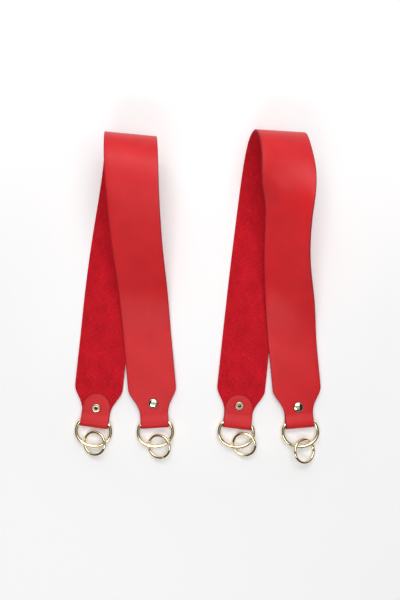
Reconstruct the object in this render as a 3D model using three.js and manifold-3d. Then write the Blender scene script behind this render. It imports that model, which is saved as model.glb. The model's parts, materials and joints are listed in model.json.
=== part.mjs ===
// A pair of leather bag straps, lying on a table side by side.
// Each strap is one band of leather, folded over at its middle so that one leg lies on the other.
// Each end of a band narrows to a tab, which turns round the bar of a D-ring and is riveted to the leg.
// An open jump ring hangs in each D-ring.
// Lengths are in millimetres. The table is z = 0, and a strap's crown points along +Y.
import * as THREE from "three";
import { mergeVertices } from "three/addons/utils/BufferGeometryUtils.js";
import Module from "manifold-3d";

// Leather band
const strap_length = 643; // along the leather, from the bar of one D-ring to the bar of the other
const strap_width = 50;
const leather = 2; // thickness
const leg_gap = 0.3; // between two layers of leather that lie on each other

// Tabs at both ends of a band
const tab_side_gap = 1.5; // between the tab's edge and the D-ring's inside
const tab_neck = 11; // from the outside of the fold to the start of the shoulder
const tab_shoulder = 31; // along the leg, from the tab's width to the full width
const shoulder_lean = 1.35; // over 1, it leaves the tab more gently than it meets the full width
const flap_reach = 36; // from the outside of the fold to the flap's round tip
const bar_clearance = 0.6; // between the D-ring's bar and the leather round it
const pinch_length = 12; // from the bar to where the two layers of the tab meet
const flat_length = 38; // of leg, next to the bar, that stays flat
const drop_length = 70; // of leg, after that, in which it comes down to the table

// D-rings
const d_inner_width = 32;
const d_wire = 4;
const d_depth = 23.5; // from the middle of the bar to the middle of the bow
const d_shoulder = 9; // from the bar to the widest place
const d_corner = 2.6; // radius of the bend at each end of the bar
const d_side_deg = 25; // what is left to turn from that bend to the widest place
const d_join = 0.4; // gap in the bar, under the leather, where the wire's ends meet

// Jump rings
const jump_inner = 20; // diameter
const jump_wire = 3.3;
const jump_join = 0.6; // gap where the wire's ends meet
const wire_clearance = 0.3; // between two rings that lie on each other

// Rivets
const cap_width = 10;
const cap_height = 1.8;
const cap_rim = 0.5; // height of the cap's upright edge
const cap_socket = 1.2; // depth of the hole that takes the post
const post_width = 4;
const post_bore = 3.1;
const flange_width = 8.4;
const flange_thickness = 0.6;
const rivet_clearance = 0.3; // round the post, and between the rivet and the leather

// How each strap lies
const pair_spacing = 144.5; // from crown to crown
const right_ahead = 4; // how much further along +Y the right crown lies
const left_crown = 242; // leather in the bend of the crown
const right_crown = 215;
const crown_shift = 2.8; // how much longer than half the under leg is
const left_landing = 133; // leather in the bend where the upper leg meets the under leg
const right_landing = 216;
const left_sway = 3.6; // how far a leg's middle bows out to the side
const right_sway = 1;

// How each rivet sits, from the outside of the fold
const left_under_rivet = 20.8;
const left_upper_rivet = 25.9;
const right_under_rivet = 24.4;
const right_upper_rivet = 22.4;

// A lay: turn and skew place the legs, dip is how steeply the upper leg comes down from the crown,
// and rolls are twists of the leather on the way down, each a bell along the leg.
const lays = [
  {
    side: "left",
    x: -pair_spacing / 2,
    y: 0,
    turn_deg: -2,
    skew_deg: 5.6,
    dip_deg: 38.5,
    crown: left_crown,
    landing: left_landing,
    sway: left_sway,
    rolls: [
      { deg: 6, at_share: 0.05, reach_share: 0.2 },
      { deg: -6, at_share: 0.25, reach_share: 0.36 },
    ],
    ends: [
      {
        name: "under",
        rivet: left_under_rivet,
        jump_across_share: 0.145,
        jump_out_share: 0.885,
        jump_turn_deg: 9,
        high_side: 1,
        join_deg: -120,
      },
      {
        name: "upper",
        rivet: left_upper_rivet,
        jump_across_share: 0.155,
        jump_out_share: 1.015,
        jump_turn_deg: 9,
        high_side: 1,
        join_deg: -80,
      },
    ],
  },
  {
    side: "right",
    x: pair_spacing / 2,
    y: right_ahead,
    turn_deg: -0.97,
    skew_deg: 5.8,
    dip_deg: 30.4,
    crown: right_crown,
    landing: right_landing,
    sway: right_sway,
    rolls: [
      { deg: 28, at_share: 0.125, reach_share: 0.18 },
      { deg: -39, at_share: 0.35, reach_share: 0.45 },
    ],
    ends: [
      {
        name: "under",
        rivet: right_under_rivet,
        jump_across_share: 0.53,
        jump_out_share: 0.84,
        jump_turn_deg: 34,
        high_side: 1,
        join_deg: 180,
      },
      {
        name: "upper",
        rivet: right_upper_rivet,
        jump_across_share: 0.12,
        jump_out_share: 1.2,
        jump_turn_deg: 5,
        high_side: -1,
        join_deg: -168,
      },
    ],
  },
];

// Sizes worked out from those above
const tab_width = d_inner_width - 2 * tab_side_gap;
const half_length = strap_length / 2;
const fold_radius = d_wire / 2 + bar_clearance + leather / 2; // to the middle of the leather
const fold_outside = fold_radius + leather / 2;
const fold_run = Math.PI * fold_radius;
const layer_offset = (leather + leg_gap) / 2; // from the tab's middle plane to each layer's middle
const bar_height = fold_outside; // the fold rests on the table
const leg_lift = fold_radius - layer_offset; // how far a leg is lifted at its end
const upper_height = leather * 1.5 + leg_gap; // middle of the upper leg, where it lies on the under leg
const flap_length = flap_reach - fold_outside; // from the bar's axis to the flap's tip
const band_half = half_length + fold_run + flap_length;
const jump_radius = (jump_inner + jump_wire) / 2;
const d_half_width = (d_inner_width + d_wire) / 2;

// Fineness of the meshes
const profile_steps = 900;
const band_columns = 4;
const wire_sides = 8;
const d_steps = 60;
const jump_steps = 40;
const rivet_segments = 24;

const red_grain = { color: 0xc8282d, roughness: 0.5, metalness: 0 };
const pale_gold = { color: 0xe3c68c, roughness: 0.18, metalness: 1 };

const wasm = await Module();
wasm.setup();

const radians = THREE.MathUtils.degToRad;
const clamp = THREE.MathUtils.clamp;

// From 0 to 1 over t = 0 to 1, level at both ends
function eased(t) {
  const c = clamp(t, 0, 1);
  return c - Math.sin(2 * Math.PI * c) / (2 * Math.PI);
}

// A bell of height 1 round t = 0, down to 0 at t = -1 and 1
function bell(t) {
  return (1 + Math.cos(Math.PI * clamp(t, -1, 1))) / 2;
}

// The value between low and high at which a rising test first holds
function firstWhere(low, high, test) {
  let from = low;
  let to = high;
  for (let i = 0; i < 40; i++) {
    const middle = (from + to) / 2;
    if (test(middle)) to = middle;
    else from = middle;
  }
  return to;
}

// Side view of the folded leather: where a point a along it lies, and its heading.
// It runs level, turns over in the crown, comes down at the dip and lands level again.
function sideProfile(lay) {
  const reach = half_length + strap_width;
  const step = (2 * reach) / profile_steps;
  const dip = radians(lay.dip_deg);
  const heading = (a, landing_at) =>
    (Math.PI + dip) * eased((a - crown_shift + lay.crown / 2) / lay.crown) -
    dip * eased((a - landing_at) / lay.landing);
  const trace = (landing_at) => {
    const points = [{ u: 0, z: leather / 2 }];
    for (let i = 0; i < profile_steps; i++) {
      const h = heading(-reach + (i + 0.5) * step, landing_at);
      points.push({ u: points[i].u + step * Math.cos(h), z: points[i].z + step * Math.sin(h) });
    }
    return points;
  };
  const isTooLow = (landing_at) => trace(landing_at)[profile_steps].z < upper_height;
  const landing_at = firstWhere(0, half_length, isTooLow);
  const points = trace(landing_at);
  const front = Math.max(...points.map((p) => p.u));
  return (a) => {
    const place = clamp((a + reach) / step, 0, profile_steps - 1);
    const i = Math.floor(place);
    const u = points[i].u + (place - i) * (points[i + 1].u - points[i].u) - front;
    const z = points[i].z + (place - i) * (points[i + 1].z - points[i].z);
    return { u, z, heading: heading(a, landing_at) };
  };
}

// A band's surfaces as a function of c, along the leather from the middle of the crown,
// and v, across it. Negative c is the under leg. Inward is towards the inside of the loop.
function bandSurface(lay) {
  const profile = sideProfile(lay);
  const skew = radians(lay.skew_deg);
  const turn = radians(lay.turn_deg);

  const at = (s, v, inward) => {
    const along = Math.abs(s) / half_length;
    let roll = 0;
    for (const { deg, at_share, reach_share } of lay.rolls) {
      roll += radians(deg) * bell((s / half_length - at_share) / reach_share);
    }
    const across = v * Math.cos(roll);
    const sway = lay.sway * bell(2 * along - 1);
    const lifted = 1 - eased((half_length - Math.abs(s) - flat_length) / drop_length);
    const { u, z, heading } = profile(s * Math.cos(skew) - across * Math.sin(skew));
    const off = inward + v * Math.sin(roll);
    const x = s * Math.sin(skew) + across * Math.cos(skew) - sway;
    const y = u - off * Math.sin(heading);
    return new THREE.Vector3(
      lay.x + x * Math.cos(turn) - y * Math.sin(turn),
      lay.y + x * Math.sin(turn) + y * Math.cos(turn),
      z + off * Math.cos(heading) + leg_lift * lifted,
    );
  };

  const middle = (c, v) => {
    const d = Math.abs(c);
    const side = Math.sign(c);
    if (d <= half_length) {
      return at(c, v, -leg_lift * bell((half_length - d) / pinch_length));
    }
    if (d <= half_length + fold_run) {
      const angle = (d - half_length) / fold_radius;
      const s = half_length + fold_radius * Math.sin(angle);
      return at(side * s, v, layer_offset - fold_radius * Math.cos(angle));
    }
    const back = d - half_length - fold_run;
    const inward = 2 * layer_offset + leg_lift * bell(back / pinch_length);
    return at(side * (half_length - back), v, inward);
  };

  const normal = (c, v) => {
    const h = leather / 100;
    const along = middle(c + h, v).sub(middle(c - h, v));
    const across = middle(c, v + h).sub(middle(c, v - h));
    return along.cross(across).normalize();
  };
  return { at, middle, normal };
}

// Half the width of the band at c
function halfWidth(c) {
  const from_tip = band_half - Math.abs(c);
  const round = tab_width / 2;
  if (from_tip < round) return Math.sqrt(Math.max(0, round ** 2 - (round - from_tip) ** 2));
  const from_fold = half_length - Math.abs(c) + fold_outside;
  const up = clamp((from_fold - tab_neck) / tab_shoulder, 0, 1);
  const widening = 1 - bell(up ** shoulder_lean);
  return (tab_width + (strap_width - tab_width) * widening) / 2;
}

// Places of the mesh's rows, from the middle of the crown to the tip: [end, steps] of each stretch
function bandRows(lay, side) {
  const round = tab_width / 2;
  const full_width_end = half_length + fold_outside - tab_neck - tab_shoulder;
  const stretches = [
    [lay.crown / 2, 13],
    [half_length - flat_length - drop_length, side > 0 ? 12 : 6],
    [full_width_end, 6],
    [half_length - pinch_length, 7],
    [half_length, 4],
    [half_length + fold_run, 8],
    [half_length + fold_run + pinch_length, 4],
    [band_half - round, 1],
  ];
  const rows = [];
  let from = 0;
  for (const [to, steps] of stretches) {
    for (let i = 1; i <= steps; i++) rows.push(side * (from + ((to - from) * i) / steps));
    from = to;
  }
  const tip_steps = 6;
  for (let i = 1; i <= tip_steps; i++) {
    rows.push(side * (from + round * Math.sin((Math.PI / 2) * (i / tip_steps))));
  }
  return rows;
}

// One closed body: a grain layer and a flesh layer over the rows, joined along the edges
function bandGeometry(lay) {
  const surface = bandSurface(lay);
  const rows = [...bandRows(lay, -1).reverse(), 0, ...bandRows(lay, 1)];
  const places = [];
  for (const c of rows) {
    for (let j = 0; j <= band_columns; j++) {
      const v = halfWidth(c) * ((2 * j) / band_columns - 1);
      const middle = surface.middle(c, v);
      const out = surface.normal(c, v).multiplyScalar(leather / 2);
      places.push(...middle.clone().add(out), ...middle.clone().sub(out));
    }
  }
  const grain = (i, j) => 2 * (i * (band_columns + 1) + j);
  const flesh = (i, j) => grain(i, j) + 1;
  const index = [];
  const quad = (a, b, c, d) => index.push(a, b, c, a, c, d);
  for (let i = 0; i + 1 < rows.length; i++) {
    for (let j = 0; j < band_columns; j++) {
      quad(grain(i, j), grain(i + 1, j), grain(i + 1, j + 1), grain(i, j + 1));
      quad(flesh(i, j), flesh(i, j + 1), flesh(i + 1, j + 1), flesh(i + 1, j));
    }
    quad(grain(i, 0), flesh(i, 0), flesh(i + 1, 0), grain(i + 1, 0));
    const last = band_columns;
    quad(grain(i, last), grain(i + 1, last), flesh(i + 1, last), flesh(i, last));
  }
  const geometry = new THREE.BufferGeometry();
  geometry.setAttribute("position", new THREE.Float32BufferAttribute(places, 3));
  geometry.setIndex(index);
  return geometry;
}

// A three.js geometry as a solid that can be cut
function toSolid(geometry) {
  const bare = geometry.clone();
  bare.deleteAttribute("normal");
  bare.deleteAttribute("uv");
  const merged = mergeVertices(bare, leather * 1e-4);
  const corners = [...merged.index.array];
  const faces = [];
  for (let i = 0; i < corners.length; i += 3) {
    const [a, b, c] = corners.slice(i, i + 3);
    if (a !== b && b !== c && c !== a) faces.push(a, b, c);
  }
  const vertProperties = new Float32Array(merged.attributes.position.array);
  return new wasm.Manifold(
    new wasm.Mesh({ numProp: 3, vertProperties, triVerts: new Uint32Array(faces) }),
  );
}

function toGeometry(solid) {
  const { vertProperties, triVerts } = solid.getMesh();
  const geometry = new THREE.BufferGeometry();
  geometry.setAttribute("position", new THREE.BufferAttribute(new Float32Array(vertProperties), 3));
  geometry.setIndex(new THREE.BufferAttribute(new Uint32Array(triVerts), 1));
  geometry.computeVertexNormals();
  return geometry;
}

function mesh(name, geometry, look) {
  const made = new THREE.Mesh(geometry, new THREE.MeshStandardMaterial(look));
  made.name = name;
  return made;
}

// The band with its rivet holes, which go through leg and flap at once
function strap(lay) {
  let solid = toSolid(bandGeometry(lay));
  for (const end of lay.ends) {
    const depth = 4 * leather;
    const hole = new THREE.CylinderGeometry(
      post_width / 2 + rivet_clearance,
      post_width / 2 + rivet_clearance,
      depth,
      rivet_segments,
    );
    const place = end.frame.clone().multiply(
      new THREE.Matrix4().makeTranslation(0, end.rivet - fold_outside, 0),
    );
    hole.rotateX(Math.PI / 2).applyMatrix4(place);
    solid = solid.subtract(toSolid(hole));
  }
  return mesh(`${lay.side}_strap`, toGeometry(solid), red_grain);
}

// Frame of a strap's end: its origin is the bar's middle, x runs along the bar and y up the leg
function endFrame(surface, side) {
  const origin = surface.at(side * half_length, 0, layer_offset);
  const up_leg = surface.at(side * (half_length - flat_length), 0, layer_offset).sub(origin);
  const turn = Math.atan2(-up_leg.x, up_leg.y);
  return new THREE.Matrix4().makeRotationZ(turn).setPosition(origin);
}

// A curve in the plane z = 0 for a wire to follow
class FlatCurve extends THREE.Curve {
  constructor(path) {
    super();
    this.path = path;
  }

  getPoint(t, target = new THREE.Vector3()) {
    const flat = this.path.getPoint(t);
    return target.set(flat.x, flat.y, 0);
  }
}

// The bar, a bend, a side that widens on a larger arc, the bow, and the same back again
function dCurve() {
  const side_turn = radians(d_side_deg);
  const side = (d_shoulder - d_corner) / Math.sin(side_turn) + d_corner; // the side's radius
  const side_x = d_half_width - side;
  const corner_x = side_x + (side - d_corner) * Math.cos(side_turn);
  const quarter = Math.PI / 2;
  const path = new THREE.Path();
  path.moveTo(d_join / 2, 0);
  path.lineTo(corner_x, 0);
  path.absarc(corner_x, -d_corner, d_corner, quarter, side_turn, true);
  path.absarc(side_x, -d_shoulder, side, side_turn, 0, true);
  path.absellipse(0, -d_shoulder, d_half_width, d_depth - d_shoulder, 0, Math.PI, true);
  path.absarc(-side_x, -d_shoulder, side, Math.PI, Math.PI - side_turn, true);
  path.absarc(-corner_x, -d_corner, d_corner, Math.PI - side_turn, quarter, true);
  path.lineTo(-d_join / 2, 0);
  return new FlatCurve(path);
}

function jumpCurve() {
  const half_join = jump_join / 2 / jump_radius;
  const path = new THREE.Path();
  path.absarc(0, 0, jump_radius, half_join, 2 * Math.PI - half_join, false);
  return new FlatCurve(path);
}

function wireGeometry(curve, wire, steps) {
  const section = [];
  for (let i = 0; i < wire_sides; i++) {
    const angle = (2 * Math.PI * (i + 0.5)) / wire_sides;
    section.push(new THREE.Vector2((wire / 2) * Math.cos(angle), (wire / 2) * Math.sin(angle)));
  }
  return new THREE.ExtrudeGeometry(new THREE.Shape(section), { steps, extrudePath: curve });
}

// Least distance between two curves' sampled points
function leastDistance(first, second) {
  let least = Infinity;
  for (const p of first) for (const q of second) least = Math.min(least, p.distanceTo(q));
  return least;
}

// The jump ring hangs in the D-ring's bow, its middle in the D's plane. It is rolled just far
// enough for one side to pass over the D's wire and the other under it.
function jumpPlace(end) {
  const x = end.jump_across_share * d_half_width;
  const y = -end.jump_out_share * d_depth;
  const matrixAt = (roll) =>
    new THREE.Matrix4()
      .makeTranslation(x, y, 0)
      .multiply(new THREE.Matrix4().makeRotationZ(radians(end.jump_turn_deg)))
      .multiply(new THREE.Matrix4().makeRotationY(-end.high_side * roll));
  const samples = 160;
  const d_points = dCurve().getSpacedPoints(samples);
  const ring_points = jumpCurve().getSpacedPoints(samples);
  const ringAt = (roll) => ring_points.map((p) => p.clone().applyMatrix4(matrixAt(roll)));
  const apart = (d_wire + jump_wire) / 2 + wire_clearance;
  const isClear = (roll) => leastDistance(d_points, ringAt(roll)) >= apart;
  const roll = firstWhere(radians(5), radians(60), isClear);
  return { matrix: matrixAt(roll), points: ringAt(roll) };
}

// How far the D-ring's bow is raised, for the jump ring in it to rest on the table
function bowRise(points) {
  const lowestAt = (rise) => {
    const turned = new THREE.Matrix4().makeRotationX(-rise);
    const heights = points.map((p) => p.clone().applyMatrix4(turned).z);
    return bar_height + Math.min(...heights) - jump_wire / 2;
  };
  return firstWhere(radians(-30), radians(45), (rise) => lowestAt(rise) >= 0);
}

function dRing(name) {
  return mesh(name, wireGeometry(dCurve(), d_wire, d_steps), pale_gold);
}

function jumpRing(name, join_deg) {
  const geometry = wireGeometry(jumpCurve(), jump_wire, jump_steps);
  return mesh(name, geometry.rotateZ(radians(join_deg)), pale_gold);
}

// A lathe's profile turned to stand along z
function turned(profile) {
  const points = profile.map(([r, z]) => new THREE.Vector2(r, z));
  return new THREE.LatheGeometry(points, rivet_segments).rotateX(Math.PI / 2);
}

// Both rivet pieces are built round the tab's middle plane, with the cap's side along +z
const rivet_seat = leather + leg_gap / 2 + rivet_clearance;

function rivetCap(name) {
  const outer = cap_width / 2;
  const socket = post_width / 2 + rivet_clearance;
  const dome_steps = 6;
  const profile = [
    [0, rivet_seat + cap_socket],
    [socket, rivet_seat + cap_socket],
    [socket, rivet_seat],
    [outer, rivet_seat],
  ];
  for (let i = 0; i <= dome_steps; i++) {
    const angle = (Math.PI / 2) * (i / dome_steps);
    const height = cap_rim + (cap_height - cap_rim) * Math.sin(angle);
    profile.push([i < dome_steps ? outer * Math.cos(angle) : 0, rivet_seat + height]);
  }
  return mesh(name, turned(profile), pale_gold);
}

function rivetPost(name) {
  const bore = post_bore / 2;
  const top = rivet_seat + cap_socket - rivet_clearance;
  const foot = rivet_seat + flange_thickness;
  const profile = [
    [bore, -foot],
    [flange_width / 2 - flange_thickness / 3, -foot],
    [flange_width / 2, -foot + flange_thickness / 3],
    [flange_width / 2, -rivet_seat],
    [post_width / 2, -rivet_seat],
    [post_width / 2, top],
    [bore, top],
    [bore, -foot],
  ];
  return mesh(name, turned(profile), pale_gold);
}

function rivet(prefix, end, cap_faces_up) {
  const group = new THREE.Group();
  group.position.y = end.rivet - fold_outside;
  if (!cap_faces_up) group.rotation.x = Math.PI;
  group.add(rivetCap(`${prefix}_rivet_cap`), rivetPost(`${prefix}_rivet_post`));
  return group;
}

// The D-ring, its jump ring and the rivet of one end
function endPieces(prefix, end, cap_faces_up) {
  const group = new THREE.Group();
  group.applyMatrix4(end.frame);
  const jump = jumpPlace(end);
  const swing = new THREE.Group();
  swing.rotation.x = -bowRise(jump.points);
  const roll = new THREE.Group();
  roll.applyMatrix4(jump.matrix);
  roll.add(jumpRing(`${prefix}_jump_ring`, end.join_deg));
  swing.add(dRing(`${prefix}_d_ring`), roll);
  group.add(swing, rivet(prefix, end, cap_faces_up));
  return group;
}

const pair = new THREE.Group();
for (const lay of lays) {
  const surface = bandSurface(lay);
  lay.ends.forEach((end, i) => {
    end.frame = endFrame(surface, i === 0 ? -1 : 1);
  });
  pair.add(strap(lay));
  lay.ends.forEach((end, i) => pair.add(endPieces(`${lay.side}_${end.name}`, end, i === 1)));
}

// The part's origin is below the middle of the whole pair, on the table
const box = new THREE.Box3().setFromObject(pair, true);
pair.position.set(-(box.min.x + box.max.x) / 2, -(box.min.y + box.max.y) / 2, -box.min.z);

const part = new THREE.Group();
part.name = "bag_straps";
part.add(pair);
export default part;
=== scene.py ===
"""The looks of a pair of red leather bag straps with pale gold rings and rivets.

Each strap is one band of leather, folded over at its middle, and it is made here again as a fine skin
with a smooth grain side, a suede side and a raw edge. Its shape follows the same sizes as the solids.
The rings and rivets are made again round and smooth, each in the place of its solid.
"""

import json
import math

import bmesh
import bpy
import numpy as np
from mathutils import Matrix, Vector, noise


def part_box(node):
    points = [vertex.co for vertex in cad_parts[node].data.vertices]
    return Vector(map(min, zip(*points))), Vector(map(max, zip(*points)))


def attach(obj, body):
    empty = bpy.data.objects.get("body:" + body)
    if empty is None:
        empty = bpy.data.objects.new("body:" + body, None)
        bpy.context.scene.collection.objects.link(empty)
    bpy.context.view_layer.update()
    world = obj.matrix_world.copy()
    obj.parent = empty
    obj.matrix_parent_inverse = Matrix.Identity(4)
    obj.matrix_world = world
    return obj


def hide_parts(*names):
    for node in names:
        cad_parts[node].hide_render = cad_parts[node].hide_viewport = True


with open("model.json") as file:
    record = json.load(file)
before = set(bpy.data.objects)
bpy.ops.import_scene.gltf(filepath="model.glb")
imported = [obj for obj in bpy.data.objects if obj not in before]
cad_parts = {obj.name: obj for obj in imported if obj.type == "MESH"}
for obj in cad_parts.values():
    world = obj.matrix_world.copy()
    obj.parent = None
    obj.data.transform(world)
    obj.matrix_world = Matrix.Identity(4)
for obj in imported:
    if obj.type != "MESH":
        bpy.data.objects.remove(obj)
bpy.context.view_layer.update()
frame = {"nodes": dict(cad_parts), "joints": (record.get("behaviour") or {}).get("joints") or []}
joints = {joint["name"]: joint for joint in frame["joints"]}

mm = 0.001

# Leather band
strap_length = 643 * mm
strap_width = 50 * mm
leather = 2 * mm
leg_gap = 0.3 * mm
edge_round = 0.45 * mm

# Tabs at both ends of a band
tab_width = 29 * mm
tab_neck = 11 * mm
tab_shoulder = 31 * mm
shoulder_lean = 1.35
flap_reach = 36 * mm
bar_clearance = 0.6 * mm
pinch_length = 12 * mm
flat_length = 38 * mm
drop_length = 70 * mm

# D-rings
d_inner_width = 32 * mm
d_wire = 4 * mm
d_depth = 23.5 * mm
d_shoulder = 9 * mm
d_corner = 2.6 * mm
d_side_deg = 25
d_join = 0.4 * mm

# Jump rings
jump_inner = 20 * mm
jump_wire = 3.3 * mm
jump_join = 0.6 * mm
jump_offset = 0.3 * mm  # how far one end stands above the other

# Rivets
cap_width = 10 * mm
cap_height = 1.8 * mm
cap_rim = 0.5 * mm
post_width = 4 * mm
post_bore = 3.1 * mm
flange_width = 8.4 * mm
flange_thickness = 0.6 * mm
rivet_clearance = 0.3 * mm
dent_depth = 0.25 * mm  # where a rivet presses the leather in
dent_fade = 2 * mm
hole_depth = 6 * leather  # more than both layers
bore_lip = 0.25 * mm  # how far the bore's painted shade comes up onto the flange

# Slow unevenness of the leather
uneven_height = 0.35 * mm
uneven_wave = 30 * mm
uneven_across = 0.7  # below 1, its waves are longer across the band than along it
uneven_under = 0.4  # share of it on the under leg
uneven_on_upper = {"start": -40 * mm, "end": 175 * mm, "fade_in": 60 * mm, "fade_out": 60 * mm}
uneven_on_under = {"start": 130 * mm, "end": 240 * mm, "fade_in": 60 * mm, "fade_out": 40 * mm}

# How the straps lie on the table
pair_spacing = 144.5 * mm
right_ahead = 4 * mm
crown_shift = 2.8 * mm
lays = {
    "left": {
        "x": -pair_spacing / 2,
        "y": 0,
        "turn_deg": -2,
        "skew_deg": 5.6,
        "dip_deg": 38.5,
        "crown": 242 * mm,
        "landing": 133 * mm,
        "sway": 3.6 * mm,
        "rolls": [
            {"deg": 6, "at_share": 0.05, "reach_share": 0.2},
            {"deg": -6, "at_share": 0.25, "reach_share": 0.36},
        ],
        "swell": {"rise": 8 * mm, "aside": 1.2 * mm, "at_share": 0.48, "reach_share": 0.28},
        "rivets": {"under": 20.8 * mm, "upper": 25.9 * mm},
        "joins_deg": {"under": -120, "upper": -80},
        "seed": 3,
    },
    "right": {
        "x": pair_spacing / 2,
        "y": right_ahead,
        "turn_deg": -0.97,
        "skew_deg": 5.8,
        "dip_deg": 30.4,
        "crown": 215 * mm,
        "landing": 216 * mm,
        "sway": 1 * mm,
        "rolls": [
            {"deg": 28, "at_share": 0.125, "reach_share": 0.18},
            {"deg": -39, "at_share": 0.35, "reach_share": 0.45},
        ],
        "swell": {"rise": 6 * mm, "aside": 1.2 * mm, "at_share": 0.48, "reach_share": 0.28},
        "rivets": {"under": 24.4 * mm, "upper": 22.4 * mm},
        "joins_deg": {"under": 180, "upper": -168},
        "seed": 8,
    },
}

# Worked out from those above
half_length = strap_length / 2
fold_radius = d_wire / 2 + bar_clearance + leather / 2
fold_outside = fold_radius + leather / 2
fold_run = math.pi * fold_radius
layer_offset = (leather + leg_gap) / 2
leg_lift = fold_radius - layer_offset
upper_height = leather * 1.5 + leg_gap
flap_length = flap_reach - fold_outside
band_half = half_length + fold_run + flap_length
jump_radius = (jump_inner + jump_wire) / 2
d_half_width = (d_inner_width + d_wire) / 2

# How finely things are made
profile_steps = 900
landing_tries = 40
columns_across = 27
hole_sides = 32
wire_sides = 24
turned_sides = 64
d_steps = {"bar": 16, "corner": 10, "side": 12, "bow": 72}
jump_steps = 110
leather_merge = 0.004 * mm
wire_merge = 0.001 * mm
turned_merge = 0.0005 * mm
to_mm = 1000

# The photograph's view: the camera looks straight down, from above the pixel named here
photo_px = (400, 600)
below_camera_px = (180, 283)
mm_per_px = 1.05
camera_height = 615 * mm
camera_at = (-18.1 * mm, 19.3 * mm)
sensor = 36  # millimetres, as Blender counts them

# Each lamp's name, place, target, size and watts
lamps = [
    ("key_panel", (0.05, 0.2, 0.66), (0.03, 0.2, 0), (0.6, 0.5), 2.35),
    ("far_panel", (-0.05, 0.5, 0.7), (0, 0.1, 0.05), (0.6, 0.2), 1.25),
    ("sheen_panel", (-0.12, -0.38, 0.62), (-0.04, 0.1, 0.06), (0.36, 0.14), 1.0),
    ("ceiling_panel", (-0.02, -0.34, 0.95), (-0.02, -0.1, 0), (0.8, 0.4), 0.5),
]


def add_camera():
    data = bpy.data.cameras.new("camera")
    data.sensor_fit = "VERTICAL"
    data.sensor_height = sensor
    data.lens = sensor * camera_height / (photo_px[1] * mm_per_px * mm)
    data.shift_x = (photo_px[0] / 2 - below_camera_px[0]) / photo_px[1]
    data.shift_y = (below_camera_px[1] - photo_px[1] / 2) / photo_px[1]
    data.clip_start = 10 * mm
    camera = bpy.data.objects.new("camera", data)
    camera.location = (*camera_at, camera_height)
    bpy.context.scene.collection.objects.link(camera)
    bpy.context.scene.camera = camera


def eased(t):
    """From 0 to 1 over t = 0 to 1, level at both ends."""
    c = np.clip(t, 0, 1)
    return c - np.sin(2 * math.pi * c) / (2 * math.pi)


def bell(t):
    """A bell of height 1 round t = 0, down to 0 at t = -1 and 1."""
    return (1 + np.cos(math.pi * np.clip(t, -1, 1))) / 2


def side_profile(lay):
    """Side view of the folded leather: where a point a along it lies, and its heading."""
    reach = half_length + strap_width
    step = 2 * reach / profile_steps
    dip = math.radians(lay["dip_deg"])
    grid = np.linspace(-reach, reach, profile_steps + 1)
    mids = grid[:-1] + step / 2

    def heading(a, landing_at):
        turn_over = (math.pi + dip) * eased((a - crown_shift) / lay["crown"] + 0.5)
        return turn_over - dip * eased((a - landing_at) / lay["landing"])

    def trace(landing_at):
        h = heading(mids, landing_at)
        u = np.concatenate([[0], np.cumsum(step * np.cos(h))])
        z = np.concatenate([[0], np.cumsum(step * np.sin(h))]) + leather / 2
        return u, z

    low, high = 0, half_length
    for _ in range(landing_tries):
        landing_at = (low + high) / 2
        if trace(landing_at)[1][-1] < upper_height:
            high = landing_at
        else:
            low = landing_at
    u, z = trace(high)
    u = u - u.max()

    def profile(a):
        return np.interp(a, grid, u), np.interp(a, grid, z), heading(a, high)

    return profile


class Band:
    """A band's middle surface as a function of c, along the leather, and v, across it.

    Negative c is the under leg. Inward is towards the inside of the loop.
    """

    def __init__(self, lay):
        self.lay = lay
        self.profile = side_profile(lay)
        self.skew = math.radians(lay["skew_deg"])
        self.turn = math.radians(lay["turn_deg"])

    def at(self, s, v, inward):
        lay = self.lay
        roll = np.zeros_like(s)
        for wave in lay["rolls"]:
            place = (s / half_length - wave["at_share"]) / wave["reach_share"]
            roll = roll + math.radians(wave["deg"]) * bell(place)
        across = v * np.cos(roll)
        sway = lay["sway"] * bell(2 * np.abs(s) / half_length - 1)
        lifted = 1 - eased((half_length - np.abs(s) - flat_length) / drop_length)
        u, z, heading = self.profile(s * math.cos(self.skew) - across * math.sin(self.skew))
        off = inward + v * np.sin(roll)
        x = s * math.sin(self.skew) + across * math.cos(self.skew) - sway
        y = u - off * np.sin(heading)
        cos_turn, sin_turn = math.cos(self.turn), math.sin(self.turn)
        return np.stack(
            [
                lay["x"] + x * cos_turn - y * sin_turn,
                lay["y"] + x * sin_turn + y * cos_turn,
                z + off * np.cos(heading) + leg_lift * lifted,
            ],
            axis=-1,
        )

    def middle(self, c, v):
        d = np.abs(c)
        side = np.sign(c)
        angle = np.clip((d - half_length) / fold_radius, 0, math.pi)
        back = np.maximum(d - half_length - fold_run, 0)
        on_leg = d <= half_length
        on_fold = (d > half_length) & (d <= half_length + fold_run)
        s = np.where(on_leg, c, side * (half_length + fold_radius * np.sin(angle)))
        s = np.where(on_leg | on_fold, s, side * (half_length - back))
        leg = -leg_lift * bell((half_length - d) / pinch_length)
        fold = layer_offset - fold_radius * np.cos(angle)
        flap = 2 * layer_offset + leg_lift * bell(back / pinch_length)
        inward = np.where(on_leg, leg, np.where(on_fold, fold, flap))
        return self.at(s, v, inward)

    def normal(self, c, v):
        h = leather / 100
        along = self.middle(c + h, v) - self.middle(c - h, v)
        across = self.middle(c, v + h) - self.middle(c, v - h)
        out = np.cross(along, across)
        return out / np.linalg.norm(out, axis=-1, keepdims=True)


def half_width(c):
    """Half the width of the band at c: a round tip, the tab, the shoulder and the full band."""
    tip = band_half - np.abs(c)
    tip_round = tab_width / 2
    round_half = np.sqrt(np.maximum(0, tip_round**2 - (tip_round - tip) ** 2))
    from_fold = half_length - np.abs(c) + fold_outside
    up = np.clip((from_fold - tab_neck) / tab_shoulder, 0, 1)
    widening = 1 - bell(up**shoulder_lean)
    straight = (tab_width + (strap_width - tab_width) * widening) / 2
    return np.where(tip < tip_round, round_half, straight)


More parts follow.
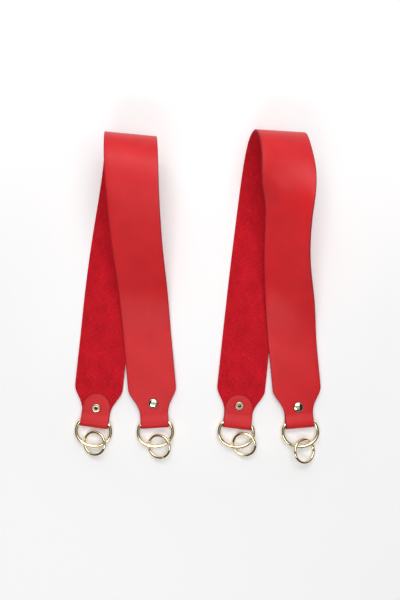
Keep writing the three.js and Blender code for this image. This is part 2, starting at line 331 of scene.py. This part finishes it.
def edge_distance(c, v):
    """How far a point of the leather lies inside its outline."""
    tip = band_half - np.abs(c)
    tip_round = tab_width / 2
    in_tip = tip_round - np.hypot(tip_round - tip, v)
    return np.where(tip < tip_round, in_tip, half_width(c) - np.abs(v))


def band_rows():
    """Places of the mesh's rows along the band, close together where it bends or its outline turns."""
    tip_round = tab_width / 2
    full_width_end = half_length + fold_outside - tab_neck - tab_shoulder
    stretches = [
        (half_length - flat_length - drop_length, 150),  # where the stretch ends, and its rows
        (full_width_end, 40),
        (half_length - pinch_length, 26),
        (half_length, 12),
        (half_length + fold_run, 24),
        (half_length + fold_run + pinch_length, 12),
        (band_half - tip_round, 8),
    ]
    half = []
    start = 0
    for end, steps in stretches:
        half += list(start + (end - start) * np.arange(1, steps + 1) / steps)
        start = end
    tip_steps = 28
    half += list(start + tip_round * np.sin(math.pi / 2 * np.arange(1, tip_steps + 1) / tip_steps))
    half = np.array(half)
    return np.concatenate([-half[::-1], [0], half])


def within(c, stretch):
    """1 on a stretch of the band, with a fade at its start and one past its end."""
    started = eased((c - stretch["start"]) / stretch["fade_in"])
    return started * (1 - eased((c - stretch["end"]) / stretch["fade_out"]))


def wobble(c, v, seed):
    """Slow unevenness of the leather, outward in -1 to 1. It fades out where two layers touch.

    The under leg only rises from the table.
    """
    scale = 1 / uneven_wave
    places = [Vector((a * scale, b * scale * uneven_across, seed)) for a, b in zip(c, v)]
    values = np.array([noise.noise(place) for place in places])
    on_upper = within(c, uneven_on_upper)
    on_under = within(-c, uneven_on_under)
    return values * on_upper - uneven_under * np.abs(values) * on_under


def swell(c, lay):
    """How far the upper leg, on its way down, lies outside its solid and to the right of it."""
    wave = lay["swell"]
    share = bell((c / half_length - wave["at_share"]) / wave["reach_share"])
    return wave["rise"] * share, wave["aside"] * share


def rivet_places(lay):
    """Where along the band each rivet's hole is, in the leg and the flap, and what covers it there."""
    places = []
    for side, end in ((-1, "under"), (1, "upper")):
        from_bar = lay["rivets"][end] - fold_outside
        places.append((side * (half_length - from_bar), cap_width / 2))
        places.append((side * (half_length + fold_run + from_bar), flange_width / 2))
    return places


def band_columns():
    """Round one row of the band: share of the width, way in from the edge and height, and its material.

    The height is 1 on the grain side and -1 on the flesh side. On the raw edge it is a share of the
    flat part.
    """
    lip_shares = [0.0, 0.08, 0.25, 0.55, 1.0]  # of the edge's rounding, from the edge in
    wall_heights = [0.55, 0.0, -0.55]
    inner = np.linspace(-1, 1, columns_across)[2:-2]
    columns = []
    slots = []
    for face in (1, -1):
        line = [(-1, e, face) for e in lip_shares] + [(x, None, face) for x in inner]
        line += [(1, e, face) for e in lip_shares[::-1]]
        columns += line if face == 1 else line[::-1]
        columns += [(face, "wall", h * face) for h in wall_heights]
        slots += [0 if face == 1 else 1] * len(line) + [2] * len(wall_heights)
    return columns, slots


def band_mesh(name, lay, shift):
    """The leather of one strap: grain side, raw edges and flesh side round each row of the band."""
    band = Band(lay)
    rows = band_rows()
    columns, slots = band_columns()
    count = len(columns)
    c = np.repeat(rows, count)
    half = half_width(c)
    v = np.empty_like(c)
    height = np.empty_like(c)
    for j, (share, extra, face) in enumerate(columns):
        w = half[j::count]
        rounding = np.minimum(edge_round, w * 0.4)  # no wider than the tip's last rows can take
        height[j::count] = face
        if extra is None:
            v[j::count] = share * np.maximum(w - 3 * rounding, 0)
        elif extra == "wall":
            v[j::count] = share * w
        else:
            v[j::count] = share * (w - extra * rounding)
    on_wall = np.tile([extra == "wall" for _, extra, _ in columns], len(rows))
    inside = edge_distance(c, v)
    lip = np.clip(edge_round - inside, 0, edge_round)
    rounded = leather / 2 - edge_round + np.sqrt(edge_round**2 - lip**2)
    offset = np.where(on_wall, height * (leather / 2 - edge_round), height * rounded)
    grain_side = (height > 0) & ~on_wall
    from_rivet = np.full_like(c, strap_length)
    for place, radius in rivet_places(lay):
        out = np.hypot(c - place, v) - radius
        from_rivet = np.minimum(from_rivet, out)
        dent = dent_depth * np.exp(-np.maximum(out, 0) / dent_fade)
        offset = offset - np.where(grain_side, dent, 0)
    rise, aside = swell(c, lay)
    offset = offset + rise + wobble(c, v, lay["seed"]) * uneven_height
    points = band.middle(c, v + aside) + band.normal(c, v + aside) * offset[:, None]
    points += np.array(shift)
    faces = []
    materials = []
    for i in range(len(rows) - 1):
        for j in range(count):
            k = (j + 1) % count
            faces.append((i * count + j, (i + 1) * count + j, (i + 1) * count + k, i * count + k))
            same = slots[j] == slots[k]
            materials.append(slots[j] if same else 2)
    mesh = bpy.data.meshes.new(name)
    mesh.from_pydata(points.tolist(), [], faces)
    mesh.polygons.foreach_set("material_index", materials)
    uv = mesh.uv_layers.new(name="flat")
    loops = np.empty(len(mesh.loops), dtype=np.int32)
    mesh.loops.foreach_get("vertex_index", loops)
    uv.data.foreach_set("uv", np.stack([c[loops], v[loops]], axis=-1).ravel())
    rim = mesh.uv_layers.new(name="rim")
    rim.data.foreach_set("uv", np.stack([inside[loops], from_rivet[loops]], axis=-1).ravel())
    return mesh


def merged(mesh, distance):
    """Joins the points that coincide at the flaps' tips, and turns the faces outward."""
    bm = bmesh.new()
    bm.from_mesh(mesh)
    bmesh.ops.remove_doubles(bm, verts=bm.verts, dist=distance)
    bmesh.ops.dissolve_degenerate(bm, edges=bm.edges, dist=distance)
    bmesh.ops.recalc_face_normals(bm, faces=bm.faces)
    bm.to_mesh(mesh)
    bm.free()


def add_object(name, mesh, materials):
    made = bpy.data.objects.new(name, mesh)
    bpy.context.scene.collection.objects.link(made)
    for material in materials:
        mesh.materials.append(material)
    mesh.shade_smooth()
    return made


def pair_shift():
    """From the straps' own places to the part's frame, read off the left upper rivet's cap."""
    lay = lays["left"]
    band = Band(lay)
    s = np.array([half_length, half_length - flat_length])
    ends = band.at(s, np.zeros(2), np.full(2, layer_offset))
    up_leg = (ends[1] - ends[0])[:2] / np.linalg.norm((ends[1] - ends[0])[:2])
    at_rivet = ends[0][:2] + up_leg * (lay["rivets"]["upper"] - fold_outside)
    low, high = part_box("left_upper_rivet_cap")
    return ((low.x + high.x) / 2 - at_rivet[0], (low.y + high.y) / 2 - at_rivet[1], 0)


def cut_rivet_holes(strap, side):
    """A hole through leg and flap under each rivet, which the post's bore opens to view."""
    for end in ("under", "upper"):
        low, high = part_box(f"{side}_{end}_rivet_post")
        bpy.ops.mesh.primitive_cylinder_add(
            vertices=hole_sides,
            radius=post_width / 2 + rivet_clearance,
            depth=hole_depth,
            location=(low + high) / 2,
        )
        cutter = bpy.context.active_object
        modifier = strap.modifiers.new("hole", "BOOLEAN")
        modifier.operation = "DIFFERENCE"
        modifier.solver = "EXACT"
        modifier.object = cutter
        bpy.context.view_layer.objects.active = strap
        bpy.ops.object.modifier_apply(modifier=modifier.name)
        bpy.data.objects.remove(cutter)


def add_strap(side, shift, leather_materials):
    lay = lays[side]
    mesh = band_mesh(f"{side}_leather", lay, shift)
    merged(mesh, leather_merge)
    strap = add_object(f"{side}_leather_band", mesh, leather_materials)
    cut_rivet_holes(strap, side)
    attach(strap, "straps")
    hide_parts(f"{side}_strap")


def flat_frame(node, origin, y_axis):
    """Frame of a flat wire ring: its origin, its own y axis, and the ring's plane as x and y."""
    points = np.array([point.co for point in frame["nodes"][node].data.vertices])
    _, vectors = np.linalg.eigh(np.cov((points - points.mean(axis=0)).T))
    z = Vector(vectors[:, 0])
    if z.z < 0:
        z.negate()
    y = (y_axis - y_axis.dot(z) * z).normalized()
    x = y.cross(z)
    return Matrix.Translation(origin) @ Matrix((x, y, z)).transposed().to_4x4()


def on_arc(centre, radii, angles):
    return [(centre[0] + radii[0] * math.cos(a), centre[1] + radii[1] * math.sin(a)) for a in angles]


def arc(centre, radii, start, end, steps):
    return on_arc(centre, radii, np.linspace(start, end, steps))


def d_path():
    """The bar, a bend, a side that widens on a larger arc, the bow, and the same back again."""
    side_turn = math.radians(d_side_deg)
    side = (d_shoulder - d_corner) / math.sin(side_turn) + d_corner
    side_x = d_half_width - side
    corner_x = side_x + (side - d_corner) * math.cos(side_turn)
    quarter = math.pi / 2
    right = [(x, 0) for x in np.linspace(d_join / 2, corner_x, d_steps["bar"])]
    corner = ((corner_x, -d_corner), (d_corner, d_corner), quarter, side_turn, d_steps["corner"])
    right += arc(*corner)[1:]
    right += arc((side_x, -d_shoulder), (side, side), side_turn, 0, d_steps["side"])[1:]
    bow_radii = (d_half_width, d_depth - d_shoulder)
    bow = arc((0, -d_shoulder), bow_radii, 0, -math.pi, d_steps["bow"])[1:-1]
    left = [(-x, y) for x, y in reversed(right)]
    return [(x, y, 0) for x, y in right + bow + left]


def jump_path(join_deg):
    """An open ring from one side of its gap round to the other, whose last half rises a little."""
    half_join = jump_join / 2 / jump_radius
    points = []
    for i in range(jump_steps + 1):
        share = i / jump_steps
        angle = half_join + (2 * math.pi - 2 * half_join) * share + math.radians(join_deg)
        rise = jump_offset * max(0, 2 * share - 1) ** 3
        points.append((jump_radius * math.cos(angle), jump_radius * math.sin(angle), rise))
    return points


def wire_mesh(name, path, wire, place):
    """A round wire along an open path, with its cut ends a little rounded."""
    bevel = wire * 0.07
    sides = wire_sides
    path = [Vector(p) for p in path]
    rings = []  # (centre, direction, radius)
    for i, point in enumerate(path):
        ahead = path[min(i + 1, len(path) - 1)] - path[max(i - 1, 0)]
        rings.append((point, ahead.normalized(), wire / 2))
    first, last = rings[0], rings[-1]
    rings[0] = (first[0] + first[1] * bevel, first[1], wire / 2)
    rings[-1] = (last[0] - last[1] * bevel, last[1], wire / 2)
    rings.insert(0, (first[0], first[1], wire / 2 - bevel))
    rings.append((last[0], last[1], wire / 2 - bevel))
    up = Vector((0, 0, 1))
    points = []
    for centre, ahead, radius in rings:
        out = ahead.cross(up).normalized()
        over = out.cross(ahead)
        for k in range(sides):
            angle = 2 * math.pi * k / sides
            points.append(place @ (centre + radius * (math.cos(angle) * out + math.sin(angle) * over)))
    faces = []
    for i in range(len(rings) - 1):
        for k in range(sides):
            n = (k + 1) % sides
            faces.append((i * sides + k, i * sides + n, (i + 1) * sides + n, (i + 1) * sides + k))
    faces.append(tuple(range(sides))[::-1])
    faces.append(tuple((len(rings) - 1) * sides + k for k in range(sides)))
    mesh = bpy.data.meshes.new(name)
    mesh.from_pydata(points, [], faces)
    merged(mesh, wire_merge)
    return mesh


def add_rings(side, end, metal):
    """The D-ring and the jump ring of one end, in the planes of their solids."""
    prefix = f"{side}_{end}"
    swing = joints[f"{prefix}_d_swing"]
    bar = Vector(swing["axis"])
    up_leg = Vector((0, 0, 1)).cross(bar if bar.x > 0 else -bar)
    place = flat_frame(f"{prefix}_d_ring", Vector(swing["pos_m"]), up_leg)
    ring = add_object(f"{prefix}_d_ring_wire", wire_mesh(prefix, d_path(), d_wire, place), [metal])
    roll = joints[f"{prefix}_jump_roll"]
    chain = Vector(roll["axis"])
    if chain.y < 0:
        chain.negate()
    place = flat_frame(f"{prefix}_jump_ring", Vector(roll["pos_m"]), chain)
    path = jump_path(lays[side]["joins_deg"][end])
    jump = add_object(f"{prefix}_jump_ring_wire", wire_mesh(prefix, path, jump_wire, place), [metal])
    for piece, node in ((ring, f"{prefix}_d_ring"), (jump, f"{prefix}_jump_ring")):
        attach(piece, node)
        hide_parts(node)


def turned_mesh(name, profile, place):
    """A profile of (radius, height) turned round the z axis. It starts and ends on the axis, or closes."""
    segments = turned_sides
    points = []
    faces = []
    closed = profile[0][0] > 0
    for radius, height in profile:
        for k in range(segments):
            angle = 2 * math.pi * k / segments
            points.append(place @ Vector((radius * math.cos(angle), radius * math.sin(angle), height)))
    count = len(profile)
    for i in range(count if closed else count - 1):
        j = (i + 1) % count
        for k in range(segments):
            n = (k + 1) % segments
            faces.append((i * segments + k, i * segments + n, j * segments + n, j * segments + k))
    mesh = bpy.data.meshes.new(name)
    mesh.from_pydata(points, [], faces)
    merged(mesh, turned_merge)
    return mesh


def rounded_corner(centre, radius, start_deg, end_deg, steps=5):
    return on_arc(centre, (radius, radius), np.radians(np.linspace(start_deg, end_deg, steps)))


def cap_profile():
    """A domed cap with a rolled rim that presses on the leather. Height 0 is its solid's foot."""
    outer = cap_width / 2
    lip = 0.22 * mm
    rim_width = 1.2 * mm
    dome_fullness = 0.92
    dome_steps = 22
    foot = -rivet_clearance
    profile = [(0, foot + lip), (outer - rim_width, foot + lip)]
    profile += rounded_corner((outer - lip, foot + lip), lip, -90, 0)
    for i in range(dome_steps):
        angle = math.pi / 2 * i / dome_steps
        height = cap_rim + (cap_height - cap_rim) * math.sin(angle)
        profile.append((outer * math.cos(angle) ** dome_fullness, height))
    profile.append((0, cap_height))
    return profile


def post_profile(length):
    """A tube whose end is rolled out to a flange. Height 0 is the flange's seat, and it stands up."""
    bore = post_bore / 2
    outer = flange_width / 2
    seat = -rivet_clearance
    lip = 0.3 * mm
    shoulder = 0.45 * mm
    profile = [(post_width / 2, -length), (post_width / 2, seat)]
    profile += rounded_corner((outer - lip, seat + lip), lip, -90, 0)
    over = (outer - shoulder, flange_thickness - shoulder)
    profile += rounded_corner(over, shoulder, 0, 90, steps=9)
    profile += rounded_corner((bore + lip, flange_thickness - lip), lip, 90, 180, steps=9)
    profile.append((bore, -length))
    return profile


def darken(mesh, bore_shade_material, centre, reach, facing):
    """Gives faces within reach of a rivet's axis the bore's painted shade: its wall, or what closes its
    end.
    """
    if bore_shade_material.name not in mesh.materials:
        mesh.materials.append(bore_shade_material)
    index = mesh.materials.find(bore_shade_material.name)
    straight = 0.9  # how much of a face's normal has to point the way asked
    for face in mesh.polygons:
        out = math.hypot(face.center.x - centre.x, face.center.y - centre.y)
        if out < reach and (facing == 0 or face.normal.z * facing > straight):
            face.material_index = index


def add_rivet(side, end, metal, bore_shade_material):
    """The cap on the grain side of a tab and the open post on its flap, in the places of their solids."""
    prefix = f"{side}_{end}"
    cap_low, cap_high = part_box(f"{prefix}_rivet_cap")
    post_low, post_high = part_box(f"{prefix}_rivet_post")
    faces_up = cap_high.z > post_high.z
    centre = (cap_low + cap_high) / 2
    flip = Matrix.Identity(4) if faces_up else Matrix.Rotation(math.pi, 4, "X")
    cap_foot = cap_low.z if faces_up else cap_high.z
    cap_place = Matrix.Translation((centre.x, centre.y, cap_foot)) @ flip
    cap = add_object(
        f"{prefix}_rivet_cap_dome", turned_mesh(prefix, cap_profile(), cap_place), [metal]
    )
    seat = post_low.z + flange_thickness if faces_up else post_high.z - flange_thickness
    unflip = Matrix.Rotation(math.pi, 4, "X") if faces_up else Matrix.Identity(4)
    post_place = Matrix.Translation((centre.x, centre.y, seat)) @ unflip
    length = post_high.z - post_low.z - flange_thickness
    post = add_object(
        f"{prefix}_rivet_post_tube",
        turned_mesh(prefix, post_profile(length), post_place),
        [metal, bore_shade_material],
    )
    # The bore's wall, its lip and the cap's face at its end get painted shade
    darken(cap.data, bore_shade_material, centre, post_width / 2, facing=-1 if faces_up else 1)
    darken(post.data, bore_shade_material, centre, post_bore / 2 + bore_lip, facing=0)
    for piece, node in ((cap, f"{prefix}_rivet_cap"), (post, f"{prefix}_rivet_post")):
        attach(piece, "straps")
        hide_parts(node)


class Nodes:
    """Small helper that makes and links the nodes of a new material or world."""

    def __init__(self, owner, shader="Principled BSDF"):
        owner.use_nodes = True
        self.owner = owner
        self.tree = owner.node_tree
        self.shader = self.tree.nodes[shader]

    def add(self, kind, inputs=None, **settings):
        node = self.tree.nodes.new(kind)
        for key, value in settings.items():
            setattr(node, key, value)
        for key, value in (inputs or {}).items():
            if isinstance(value, bpy.types.NodeSocket):
                self.tree.links.new(value, node.inputs[key])
            else:
                node.inputs[key].default_value = value
        return node

    def flat_place(self, along, across):
        """The leather's own flat coordinates, scaled along the band and across it."""
        uv = self.add("ShaderNodeUVMap", uv_map="flat")
        mapping = self.add(
            "ShaderNodeMapping", {"Vector": uv.outputs["UV"], "Scale": (along, across, 1)}
        )
        return mapping.outputs["Vector"]

    def near(self, what, full, none):
        """0.8 within full of the outline (X) or of a rivet (Y), down to 0 at none from it."""
        uv = self.add("ShaderNodeUVMap", uv_map="rim")
        split = self.add("ShaderNodeSeparateXYZ", {"Vector": uv.outputs["UV"]})
        fade = {"Value": split.outputs[what], "From Min": full, "From Max": none}
        fade |= {"To Min": 0.8, "To Max": 0.0}
        return self.add("ShaderNodeMapRange", fade).outputs["Result"]

    def noise(self, vector, scale, detail=2.0, roughness=0.5):
        inputs = {"Vector": vector, "Scale": scale, "Detail": detail, "Roughness": roughness}
        return self.add("ShaderNodeTexNoise", inputs).outputs["Fac"]

    def ramp(self, value, stops):
        node = self.add("ShaderNodeValToRGB", {"Fac": value})
        elements = node.color_ramp.elements
        while len(elements) < len(stops):
            elements.new(0.5)
        for element, (place, colour) in zip(elements, stops):
            element.position = place
            element.color = (*colour, 1)
        return node.outputs["Color"]

    def blend(self, kind, amount, first, second):
        node = self.add("ShaderNodeMix", {"Factor": amount}, data_type="RGBA", blend_type=kind)
        for index, value in ((6, first), (7, second)):
            if isinstance(value, bpy.types.NodeSocket):
                self.tree.links.new(value, node.inputs[index])
            else:
                node.inputs[index].default_value = (*value, 1)
        return node.outputs[2]

    def bump(self, height, strength, distance, below=None):
        inputs = {"Height": height, "Strength": strength, "Distance": distance}
        if below is not None:
            inputs["Normal"] = below
        return self.add("ShaderNodeBump", inputs).outputs["Normal"]

    def finish(self, **sockets):
        for key, value in sockets.items():
            socket = self.shader.inputs[key.replace("_", " ")]
            if isinstance(value, bpy.types.NodeSocket):
                self.tree.links.new(value, socket)
            else:
                socket.default_value = value
        return self.owner


def grain_leather():
    """Dyed and finished leather: fine pores, faint cloudiness, a soft shine, dark dye along its edges and
    painted shade round the rivets.
    """
    nodes = Nodes(bpy.data.materials.new("grain_leather"))
    place = nodes.flat_place(to_mm, to_mm)
    clouds = nodes.noise(place, 0.045, 3)
    base = nodes.ramp(clouds, [(0.3, (0.65, 0.013, 0.018)), (0.7, (0.72, 0.016, 0.022))])
    cells = nodes.add(
        "ShaderNodeTexVoronoi",
        {"Vector": place, "Scale": 1.5, "Randomness": 1.0},
        feature="DISTANCE_TO_EDGE",
    )
    creases = nodes.add(
        "ShaderNodeMapRange",
        {"Value": cells.outputs["Distance"], "From Min": 0.0, "From Max": 0.14},
    )
    crease_tone = nodes.ramp(creases.outputs["Result"], [(0, (0.45, 0.3, 0.3)), (1, (1, 1, 1))])
    colour = nodes.blend("MULTIPLY", 0.12, base, crease_tone)
    # Dark red dye along the outline. Round each rivet the same colour is painted shade, where cap and
    # flange press on the leather.
    edge_dye_and_rivet_shade = (0.22, 0.005, 0.012)
    colour = nodes.blend("MIX", nodes.near("X", 0.3 * mm, 1.1 * mm), colour, edge_dye_and_rivet_shade)
    # Painted shade round each rivet
    colour = nodes.blend("MIX", nodes.near("Y", 0.3 * mm, 1.2 * mm), colour, edge_dye_and_rivet_shade)
    pores = nodes.noise(place, 3.2, 2)
    bumps = nodes.bump(creases.outputs["Result"], 0.3, 0.05 * mm)
    bumps = nodes.bump(pores, 0.2, 0.05 * mm, bumps)
    bumps = nodes.bump(nodes.noise(place, 0.28, 2), 0.1, 0.5 * mm, bumps)
    rough = nodes.add(
        "ShaderNodeMapRange",
        {"Value": nodes.noise(place, 0.4, 2), "To Min": 0.38, "To Max": 0.46},
    )
    return nodes.finish(
        Base_Color=colour,
        Roughness=rough.outputs["Result"],
        Specular_IOR_Level=0.28,
        Normal=bumps,
    )


def suede():
    """The flesh side: short brushed fibre, lighter and darker in streaks and specks."""
    nodes = Nodes(bpy.data.materials.new("suede"))
    place = nodes.flat_place(to_mm, to_mm)
    streaks = nodes.noise(nodes.flat_place(1500, 350), 0.8, 3, 0.6)  # long across the band
    specks = nodes.noise(place, 2.6, 4, 0.7)
    clouds = nodes.noise(place, 0.07, 4, 0.6)
    base = nodes.ramp(streaks, [(0.3, (0.49, 0.008, 0.015)), (0.7, (0.8, 0.016, 0.032))])
    speck_stops = [(0.25, (0.6, 0.5, 0.5)), (0.55, (0.95, 0.95, 0.95)), (0.8, (1.2, 1.35, 1.35))]
    colour = nodes.blend("MULTIPLY", 0.8, base, nodes.ramp(specks, speck_stops))
    cloud_tone = nodes.ramp(clouds, [(0.35, (0.84, 0.82, 0.82)), (0.65, (1.08, 1.08, 1.08))])
    colour = nodes.blend("MULTIPLY", 0.8, colour, cloud_tone)
    fibre = nodes.bump(specks, 0.6, 0.12 * mm)
    fibre = nodes.bump(streaks, 0.4, 0.2 * mm, fibre)
    return nodes.finish(
        Base_Color=colour,
        Roughness=0.95,
        Specular_IOR_Level=0.1,
        Sheen_Weight=0.12,
        Sheen_Roughness=0.5,
        Sheen_Tint=(1, 0.2, 0.25, 1),
        Normal=fibre,
    )


def raw_edge():
    """The cut edge: dark dye, with paler fibres that show through it."""
    nodes = Nodes(bpy.data.materials.new("raw_edge"))
    place = nodes.flat_place(to_mm, to_mm)
    fibres = nodes.noise(place, 1.6, 4, 0.7)
    edge_stops = [
        (0.3, (0.26, 0.006, 0.012)),
        (0.55, (0.5, 0.05, 0.06)),
        (0.75, (0.75, 0.32, 0.3)),
    ]
    return nodes.finish(
        Base_Color=nodes.ramp(fibres, edge_stops),
        Roughness=0.85,
        Specular_IOR_Level=0.2,
        Normal=nodes.bump(fibres, 0.7, 0.15 * mm),
    )


def pale_gold():
    """Plated wire: bright, with faint rub marks that break up its reflections."""
    nodes = Nodes(bpy.data.materials.new("pale_gold"))
    place = nodes.add("ShaderNodeTexCoord").outputs["Object"]
    rubs = nodes.noise(place, 900, 3, 0.6)
    colour = nodes.ramp(rubs, [(0.3, (0.84, 0.71, 0.47)), (0.7, (0.90, 0.79, 0.57))])
    rough = nodes.add("ShaderNodeMapRange", {"Value": rubs, "To Min": 0.06, "To Max": 0.13})
    return nodes.finish(
        Base_Color=colour,
        Metallic=1.0,
        Roughness=rough.outputs["Result"],
        Normal=nodes.bump(nodes.noise(place, 2500, 2), 0.05, 0.02 * mm),
    )


def painted_bore_shade():
    """Painted shade for a rivet's tube: a near-black dull finish on its wall and on what closes its end,
    where shade falls down the bore.
    """
    nodes = Nodes(bpy.data.materials.new("painted_bore_shade"))
    return nodes.finish(Base_Color=(0.03, 0.018, 0.009, 1), Roughness=0.6, Specular_IOR_Level=0.3)


def table_material():
    """A pale table. To the camera, and in the metal, it also glows a little, and more further out."""
    nodes = Nodes(bpy.data.materials.new("table"))
    rays = nodes.add("ShaderNodeLightPath").outputs
    seen = nodes.add("ShaderNodeMath", {0: rays["Is Camera Ray"], 1: rays["Is Glossy Ray"]})
    seen = nodes.add("ShaderNodeMath", {0: seen.outputs[0], 1: rays["Is Transmission Ray"]})
    place = nodes.add("ShaderNodeTexCoord").outputs["Object"]
    away = nodes.add("ShaderNodeVectorMath", {0: place}, operation="LENGTH").outputs["Value"]
    rise = {"Value": away, "From Min": 0.2, "From Max": 0.8, "To Min": 0.12, "To Max": 0.55}
    rise = nodes.add("ShaderNodeMapRange", rise).outputs["Result"]
    glow = nodes.add("ShaderNodeMath", {0: seen.outputs[0], 1: rise}, operation="MULTIPLY")
    return nodes.finish(
        Base_Color=(0.95, 0.95, 0.952, 1),
        Roughness=0.9,
        Specular_IOR_Level=0.1,
        Emission_Color=(1, 1, 1, 1),
        Emission_Strength=glow.outputs["Value"],
    )


def add_table():
    half = 3.0
    mesh = bpy.data.meshes.new("table")
    corners = [(-half, -half, 0), (half, -half, 0), (half, half, 0), (-half, half, 0)]
    mesh.from_pydata(corners, [], [(0, 1, 2, 3)])
    table = add_object("table", mesh, [table_material()])


def add_light(name, location, target, size, watts):
    data = bpy.data.lights.new(name, "AREA")
    data.shape = "RECTANGLE"
    data.size, data.size_y = size
    data.energy = watts
    light = bpy.data.objects.new(name, data)
    light.location = location
    aim = Vector(target) - Vector(location)
    light.rotation_euler = aim.to_track_quat("-Z", "Y").to_euler()
    bpy.context.scene.collection.objects.link(light)


def add_world():
    """A room with a bright wall beyond the crowns, a dimmer one opposite and dark walls at both sides.

    A pale band runs round its foot, behind the table as seen from any side.
    """
    room = Nodes(bpy.data.worlds.new("room"), "Background")
    place = room.add("ShaderNodeTexCoord").outputs["Generated"]
    towards = room.add("ShaderNodeSeparateXYZ", {"Vector": place}).outputs
    endways = {"Value": towards["Y"], "From Min": -1.0, "From Max": 1.0}
    endways = room.add("ShaderNodeMapRange", endways).outputs["Result"]
    greys = [(0, 0.2), (0.3, 0.02), (0.68, 0.03), (0.88, 1.0)]
    walls = room.ramp(endways, [(position, (grey, grey, grey)) for position, grey in greys])
    foot = {"Value": towards["Z"], "From Min": 0.2, "From Max": 0.32, "To Min": 1.0, "To Max": 0.0}
    foot = room.add("ShaderNodeMapRange", foot).outputs["Result"]
    colour = room.blend("MIX", foot, walls, (0.7, 0.7, 0.7))
    bpy.context.scene.world = room.finish(Color=colour)


add_camera()
bpy.context.scene.view_settings.view_transform = "Standard"

leather_looks = [grain_leather(), suede(), raw_edge()]
gold = pale_gold()
bore_shade_material = painted_bore_shade()
shift = pair_shift()
for side in lays:
    add_strap(side, shift, leather_looks)
    for end in ("under", "upper"):
        add_rings(side, end, gold)
        add_rivet(side, end, gold, bore_shade_material)

add_table()
add_world()
for lamp in lamps:
    add_light(*lamp)
